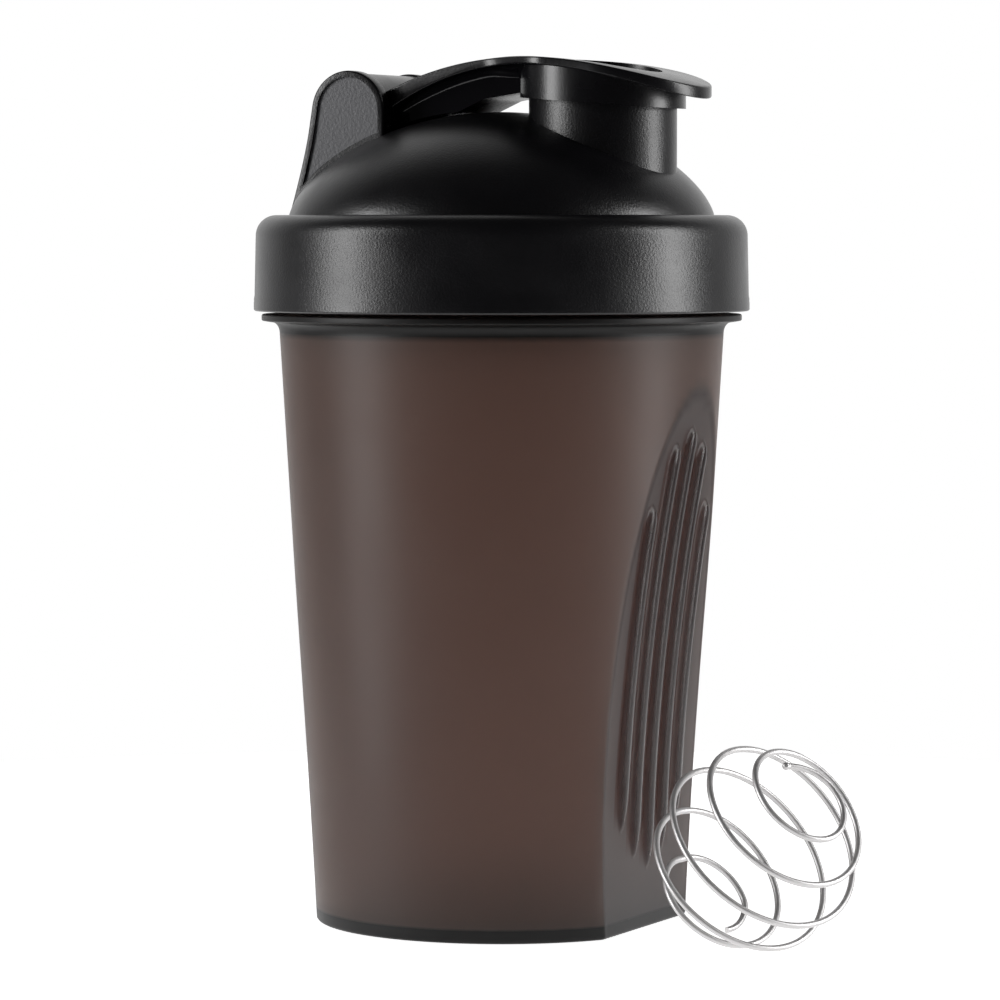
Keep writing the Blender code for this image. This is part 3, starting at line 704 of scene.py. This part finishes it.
def keel_bottom(x):
    (low_x, low_z), (high_x, high_z) = KEEL_RISE
    if x < KEEL_RISE_X:
        return dome_z(abs(x), KEEL_GAP)
    if x < low_x:
        foot = dome_z(abs(KEEL_RISE_X), KEEL_GAP)
        return foot + (low_z - foot) * (x - KEEL_RISE_X) / (low_x - KEEL_RISE_X)
    return low_z + (high_z - low_z) * (x - low_x) / (high_x - low_x)


def keel_section(x):
    """The keel's section in (y, z): upright sides that curve out to meet the strap."""
    top = strap_top(x) - 0.6 * MM
    meet = strap_bottom(x) + 0.03 * MM
    reach = strap_half(x) - KEEL_HALF - STRAP_EDGE
    drop = min(KEEL_FILLET, 0.6 * (meet - keel_bottom(x)))
    side = [(KEEL_HALF, keel_bottom(x))]
    side += [(KEEL_HALF + reach * (1 - math.cos(t)), meet - drop + drop * math.sin(t))
             for t in spread(0.0, math.pi / 2, 10)]
    side.append((KEEL_HALF + reach, max(top, meet + 0.1 * MM)))
    return side + [(-y, z) for y, z in reversed(side)]


def keel():
    """The keel under the strap, bridged from section to section."""
    bm = bmesh.new()
    rings = []
    for x in spread(*KEEL_X, 56):
        geom = chain(bm, [(x, y, z) for y, z in keel_section(x)], closed=True)
        rings.append([item for item in geom if isinstance(item, bmesh.types.BMEdge)])
    for ring, following in zip(rings, rings[1:]):
        bmesh.ops.bridge_loops(bm, edges=ring + following)
    for ring in (rings[0], rings[-1]):
        bmesh.ops.contextual_create(bm, geom=ring)
    return object_from("keel", bm)


def spout_tube(name, inner, outer):
    low, high = TUBE_Z
    profile = [(inner, high), (outer, high), (outer, low), (inner, low)]
    return turned(name, profile, ROUND_STEPS, closed=True, centre=(SPOUT_X, 0.0))


def drum(name, radius, low, high, top_radius=None):
    profile = [(0.0, high), (top_radius or radius, high), (radius, low), (0.0, low)]
    return turned(name, profile, ROUND_STEPS, centre=(SPOUT_X, 0.0))


def round_rims(obj, edge):
    """Round the upper and lower rims of the strap."""
    bm = bmesh.new()
    bm.from_mesh(obj.data)
    rims = [e for e in bm.edges if e.calc_face_angle(0.0) > math.radians(50.0)]
    bmesh.ops.bevel(bm, geom=rims, offset=edge, segments=3, affect="EDGES", profile=0.5,
                    material=-1, clamp_overlap=False)
    bm.to_mesh(obj.data)
    bm.free()


def build_flip_cap():
    cap = slab("flip_cap_shell", strap_side(), -CAP_REACH, CAP_REACH, "Y")
    boolean(cap, slab("plan", strap_plan(), *CAP_Z, "Z"), "INTERSECT")
    round_rims(cap, STRAP_EDGE)
    centre = (HINGE.x, HINGE.z)
    boolean(cap, barrel("knuckle", KNUCKLE_R, KNUCKLE_Y, centre, edge=END_EDGE), "UNION")
    boolean(cap, keel(), "UNION")
    skirt = drum("skirt", SKIRT_R[1], *TUBE_Z)
    boolean(skirt, between("skirt_side", skirt_top, skirt_bottom, *SKIRT_X), "INTERSECT")
    boolean(cap, skirt, "UNION")
    groove = spout_tube("groove", PLUG_R, SKIRT_R[0])
    side = between("groove_side", strap_bottom, lambda x: CAP_Z[0], *SKIRT_X)
    boolean(groove, side, "INTERSECT")
    boolean(cap, groove, "DIFFERENCE")
    boolean(cap, drum("plug_trim", (PLUG_R + SKIRT_R[0]) / 2, CAP_Z[0], PLUG_Z), "DIFFERENCE")
    boolean(cap, drum("dish", DISH_R - DISH_SLOPE[0], DISH_Z, CAP_Z[1], DISH_R + DISH_SLOPE[1]),
            "DIFFERENCE")
    boolean(cap, barrel("trunnions", TRUNNION_R, TRUNNION_Y, centre, 48, END_EDGE), "UNION")
    smooth(cap)
    finish_piece(cap, "flip_cap", "flip_cap", cap_plastic())
    cap.data.materials.append(polished_plastic())
    for face in cap.data.polygons:
        x, y, z = face.center
        inside = STRAP_ROOT_X < x < POLISH_END_X and abs(y) < STRAP_HALF + POLISH_MARGIN
        if inside and keel_bottom(x) + 0.2 * MM < z < strap_bottom(x) + 0.1 * MM:
            face.material_index = 1


# Whisk ball

def coil_point(turn):
    """Point on the coil's centre line, so many turns from its first end ring."""
    climb = min(1.0, max(0.0, turn / BALL_TURNS))
    first, last = BALL_POLES
    polar = first + (math.pi - first - last) * climb
    polar -= BALL_LEAN * math.sin(math.pi * climb) * (1.0 - climb)
    polar += BALL_HOOK * max(0.0, -turn) ** 3 + BALL_CURL[1] * max(0.0, turn - BALL_CURL[0])
    angle = FULL_TURN * (turn + BALL_PHASE)
    across, along, up = BALL_AXES
    radius = BALL_R - WIRE_R
    return BALL_CENTRE + radius * (math.sin(polar) * (math.cos(angle) * across
                                                      - math.sin(angle) * along)
                                   + math.cos(polar) * up)


def wire_mesh(places):
    """A round wire through a row of places, as a mesh."""
    curve = bpy.data.curves.new("whisk_wire", "CURVE")
    curve.dimensions = "3D"
    curve.bevel_depth = WIRE_R
    curve.bevel_resolution = 6
    curve.use_fill_caps = True
    spline = curve.splines.new("POLY")
    spline.points.add(len(places) - 1)
    for point, place in zip(spline.points, places):
        point.co = (*place, 1.0)
    holder = bpy.data.objects.new("whisk_wire", curve)
    bpy.context.scene.collection.objects.link(holder)
    bpy.context.view_layer.update()
    graph = bpy.context.evaluated_depsgraph_get()
    mesh = bpy.data.meshes.new_from_object(holder.evaluated_get(graph))
    bpy.data.objects.remove(holder)
    return mesh


def build_whisk_ball():
    steps = round((BALL_END - BALL_START) * BALL_STEPS)
    points = [coil_point(turn) for turn in spread(BALL_START, BALL_END, steps)]
    drop = min(point.z for point in points) - WIRE_R
    bm = bmesh.new()
    bm.from_mesh(wire_mesh([(point.x, point.y, point.z - drop) for point in points]))
    ball = object_from("whisk_coil", bm)
    bead = bmesh.new()
    bmesh.ops.create_uvsphere(bead, u_segments=32, v_segments=16, radius=BEAD_R)
    end = points[0] - Vector((0.0, 0.0, drop))
    bmesh.ops.translate(bead, verts=bead.verts, vec=end)
    boolean(ball, object_from("bead", bead), "UNION")
    smooth(ball, 50.0)
    finish_piece(ball, "whisk_ball", "whisk_ball", steel_wire())


# Materials

def new_material(name):
    mat = bpy.data.materials.new(name)
    mat.use_nodes = True
    return mat, mat.node_tree, mat.node_tree.nodes["Principled BSDF"]


def add_node(tree, kind, values=None, **settings):
    node = tree.nodes.new(kind)
    for key, value in settings.items():
        setattr(node, key, value)
    for key, value in (values or {}).items():
        node.inputs[key].default_value = value
    return node


def moulded_grain():
    """Fine moulded grain: a height for bump, and a cloudy mask for colour and roughness."""
    tree = bpy.data.node_groups.new("moulded_grain", "ShaderNodeTree")
    tree.interface.new_socket("Grain Scale", in_out="INPUT", socket_type="NodeSocketFloat")
    tree.interface.new_socket("Cloud Scale", in_out="INPUT", socket_type="NodeSocketFloat")
    tree.interface.new_socket("Height", in_out="OUTPUT", socket_type="NodeSocketFloat")
    tree.interface.new_socket("Cloud", in_out="OUTPUT", socket_type="NodeSocketFloat")
    entry = add_node(tree, "NodeGroupInput")
    leave = add_node(tree, "NodeGroupOutput")
    coords = add_node(tree, "ShaderNodeTexCoord")
    grain = add_node(tree, "ShaderNodeTexNoise", {"Detail": 2.0, "Roughness": 0.6})
    cloud = add_node(tree, "ShaderNodeTexNoise", {"Detail": 3.0, "Roughness": 0.55})
    tree.links.new(coords.outputs["Object"], grain.inputs["Vector"])
    tree.links.new(coords.outputs["Object"], cloud.inputs["Vector"])
    tree.links.new(entry.outputs["Grain Scale"], grain.inputs["Scale"])
    tree.links.new(entry.outputs["Cloud Scale"], cloud.inputs["Scale"])
    tree.links.new(grain.outputs["Fac"], leave.inputs["Height"])
    tree.links.new(cloud.outputs["Fac"], leave.inputs["Cloud"])
    return tree


def place_grain(tree, grain_scale, cloud_scale):
    return add_node(tree, "ShaderNodeGroup", {"Grain Scale": grain_scale, "Cloud Scale": cloud_scale},
                    node_tree=GRAIN)


def between_colours(tree, mask, low, high):
    mix = add_node(tree, "ShaderNodeMix", data_type="RGBA")
    mix.inputs["A"].default_value = (*low, 1.0)
    mix.inputs["B"].default_value = (*high, 1.0)
    tree.links.new(mask, mix.inputs["Factor"])
    return mix.outputs["Result"]


def towards_colour(tree, mask, start, goal):
    """Move a linked colour towards a fixed one by a mask."""
    result = between_colours(tree, mask, goal, goal)
    tree.links.new(start, result.node.inputs["A"])
    return result


def towards_value(tree, mask, start, goal):
    """Move a linked value towards a fixed one by a mask."""
    mix = add_node(tree, "ShaderNodeMix", {"B": goal})
    tree.links.new(mask, mix.inputs["Factor"])
    tree.links.new(start, mix.inputs["A"])
    return mix.outputs["Result"]


def combined(tree, operation, first, second):
    """Two linked values put through one maths operation."""
    maths = add_node(tree, "ShaderNodeMath", operation=operation)
    tree.links.new(first, maths.inputs[0])
    tree.links.new(second, maths.inputs[1])
    return maths.outputs["Value"]


def between_values(tree, mask, low, high, mask_low=0.3, mask_high=0.7):
    """A value that goes from low to high as the mask does between its own two."""
    ramp = add_node(tree, "ShaderNodeMapRange", {"From Min": mask_low, "From Max": mask_high,
                                                 "To Min": low, "To Max": high})
    tree.links.new(mask, ramp.inputs["Value"])
    return ramp.outputs["Result"]


def bumped(tree, shader, height, strength, distance):
    bump = add_node(tree, "ShaderNodeBump", {"Strength": strength, "Distance": distance})
    tree.links.new(height, bump.inputs["Height"])
    tree.links.new(bump.outputs["Normal"], shader.inputs["Normal"])


def black_plastic(name, shades, rough_low, rough_high, grain_scale, strength):
    mat, tree, shader = new_material(name)
    grain = place_grain(tree, grain_scale, 90.0)
    colour = between_colours(tree, grain.outputs["Cloud"], *shades)
    tree.links.new(colour, shader.inputs["Base Color"])
    rough = between_values(tree, grain.outputs["Cloud"], rough_low, rough_high)
    tree.links.new(rough, shader.inputs["Roughness"])
    bumped(tree, shader, grain.outputs["Height"], strength, GRAIN_DEPTH)
    return mat


def lid_plastic():
    return black_plastic("lid_black_satin", BLACK, 0.29, 0.36, 2300.0, 1.0)


def panel_plastic():
    """The coarser leather grain in the recessed panels of the lugs, with a lighter grey painted in
    for the sheen that grain catches.
    """
    return black_plastic("lug_panel_grained_painted_sheen", PANEL_PAINTED_SHEEN, 0.40, 0.52, 1500.0, 1.7)


def cap_plastic():
    return black_plastic("cap_black_smooth", BLACK, 0.24, 0.32, 1900.0, 0.35)


def polished_plastic():
    """The glossy underside of the cap's strap."""
    return black_plastic("cap_black_polished", BLACK, 0.07, 0.12, 1900.0, 0.1)


def thick_mask(tree):
    """One where the cup's plastic is thick, at its floor and round its flange, fading to nothing."""
    coords = add_node(tree, "ShaderNodeTexCoord")
    split = add_node(tree, "ShaderNodeSeparateXYZ")
    tree.links.new(coords.outputs["Object"], split.inputs["Vector"])
    height = split.outputs["Z"]
    floor = between_values(tree, height, 1.0, 0.0, *THICK_FLOOR_Z)
    below = between_values(tree, height, 0.0, 1.0, *THICK_FLANGE_Z[0])
    above = between_values(tree, height, 1.0, 0.0, *THICK_FLANGE_Z[1])
    flange = combined(tree, "MINIMUM", below, above)
    return combined(tree, "MAXIMUM", floor, flange)


def smoke_plastic(name, rough_low, rough_high, grips=False):
    """Smoke-tinted clear plastic, darker where it is thick and, if asked, with light and shade
    painted on the grips.
    """
    mat, tree, shader = new_material(name)
    grain = place_grain(tree, 1800.0, 60.0)
    colour = between_colours(tree, grain.outputs["Cloud"], *SMOKE)
    rough = between_values(tree, grain.outputs["Cloud"], rough_low, rough_high)
    if grips:
        # paint the grips' sheen and shade into the colour, and set their roughness
        for mark, tint, smoothness in GRIP_PAINTED_LIGHT:
            share = add_node(tree, "ShaderNodeAttribute", attribute_name=mark).outputs["Fac"]
            colour = towards_colour(tree, share, colour, tint)
            rough = towards_value(tree, share, rough, smoothness)
    colour = towards_colour(tree, thick_mask(tree), colour, SMOKE_THICK)
    tree.links.new(colour, shader.inputs["Base Color"])
    tree.links.new(rough, shader.inputs["Roughness"])
    shader.inputs["Transmission Weight"].default_value = SMOKE_CLEAR
    shader.inputs["IOR"].default_value = SMOKE_IOR
    bumped(tree, shader, grain.outputs["Height"], 0.06, GRAIN_DEPTH)
    return mat


def gasket_rubber():
    mat, tree, shader = new_material("gasket_silicone")
    grain = place_grain(tree, 1500.0, 120.0)
    colour = between_colours(tree, grain.outputs["Cloud"], (0.50, 0.50, 0.48), (0.60, 0.60, 0.58))
    tree.links.new(colour, shader.inputs["Base Color"])
    shader.inputs["Roughness"].default_value = 0.5
    bumped(tree, shader, grain.outputs["Height"], 0.2, GRAIN_DEPTH)
    return mat


def steel_wire():
    mat, tree, shader = new_material("whisk_steel")
    grain = place_grain(tree, 2200.0, 400.0)
    colour = between_colours(tree, grain.outputs["Cloud"], (0.50, 0.49, 0.49), (0.60, 0.59, 0.59))
    tree.links.new(colour, shader.inputs["Base Color"])
    rough = between_values(tree, grain.outputs["Cloud"], 0.38, 0.46)
    tree.links.new(rough, shader.inputs["Roughness"])
    shader.inputs["Metallic"].default_value = 0.75
    bumped(tree, shader, grain.outputs["Height"], 0.1, 0.03 * MM)
    return mat


# Studio

def add_camera():
    camera = bpy.data.cameras.new("camera")
    camera.lens = CAMERA_LENS
    camera.sensor_width = SENSOR
    camera.shift_x = CAMERA_SHIFT
    camera.clip_start = 0.05
    camera.clip_end = 50.0
    obj = bpy.data.objects.new("camera", camera)
    bpy.context.scene.collection.objects.link(obj)
    obj.location = (CAMERA_DISTANCE * math.sin(CAMERA_AZIMUTH),
                    -CAMERA_DISTANCE * math.cos(CAMERA_AZIMUTH), CAMERA_Z)
    obj.rotation_euler = (math.pi / 2 - CAMERA_PITCH, 0.0, CAMERA_AZIMUTH)
    bpy.context.scene.camera = obj


def add_softbox(name, azimuth):
    """A soft rectangular light, its azimuth counted from the camera's side of the object."""
    light = bpy.data.lights.new(name, "AREA")
    light.shape = "RECTANGLE"
    light.size, light.size_y = SOFTBOX_SIZE
    light.energy = SOFTBOX_POWER
    obj = bpy.data.objects.new(name, light)
    bpy.context.scene.collection.objects.link(obj)
    angle = CAMERA_AZIMUTH + math.radians(azimuth)
    obj.location = (SOFTBOX_DISTANCE * math.sin(angle), -SOFTBOX_DISTANCE * math.cos(angle),
                    SOFTBOX_Z)
    direction = SOFTBOX_AIM - obj.location
    obj.rotation_euler = direction.to_track_quat("-Z", "Y").to_euler()


def add_floor():
    bm = bmesh.new()
    bmesh.ops.create_circle(bm, cap_ends=True, segments=96, radius=FLOOR_R)
    floor = object_from("floor", bm)
    mat, tree, shader = new_material("floor_pale")
    shader.inputs["Base Color"].default_value = (0.90, 0.90, 0.90, 1.0)
    shader.inputs["Roughness"].default_value = 0.9
    shader.inputs["Emission Color"].default_value = (1.0, 1.0, 1.0, 1.0)
    shader.inputs["Emission Strength"].default_value = 0.9
    floor.data.materials.append(mat)
    for vert in floor.data.vertices:
        vert.co.z = -FLOOR_DROP


def set_world():
    """White behind the object, dimmer on the camera's side."""
    world = bpy.data.worlds.new("studio")
    bpy.context.scene.world = world
    world.use_nodes = True
    tree = world.node_tree
    back = tree.nodes["Background"]
    back.inputs["Color"].default_value = (1.0, 1.0, 1.0, 1.0)
    coords = add_node(tree, "ShaderNodeTexCoord")
    turn = add_node(tree, "ShaderNodeMapping", {"Rotation": (0.0, 0.0, -CAMERA_AZIMUTH)})
    split = add_node(tree, "ShaderNodeSeparateXYZ")
    tree.links.new(coords.outputs["Generated"], turn.inputs["Vector"])
    tree.links.new(turn.outputs["Vector"], split.inputs["Vector"])
    glow = between_values(tree, split.outputs["Y"], *WORLD_GLOW, *WORLD_FADE)
    path = add_node(tree, "ShaderNodeLightPath")
    seen = add_node(tree, "ShaderNodeMix")
    tree.links.new(path.outputs["Is Camera Ray"], seen.inputs["Factor"])
    tree.links.new(glow, seen.inputs["A"])
    seen.inputs["B"].default_value = 1.0
    tree.links.new(seen.outputs["Result"], back.inputs["Strength"])


def add_studio():
    add_floor()
    set_world()
    for name, azimuth in SOFTBOXES:
        add_softbox(name, azimuth)
    bpy.context.scene.view_settings.view_transform = "Standard"


GRAIN = moulded_grain()
build_cup()
build_lid()
build_gasket()
build_flip_cap()
build_whisk_ball()
add_camera()
add_studio()
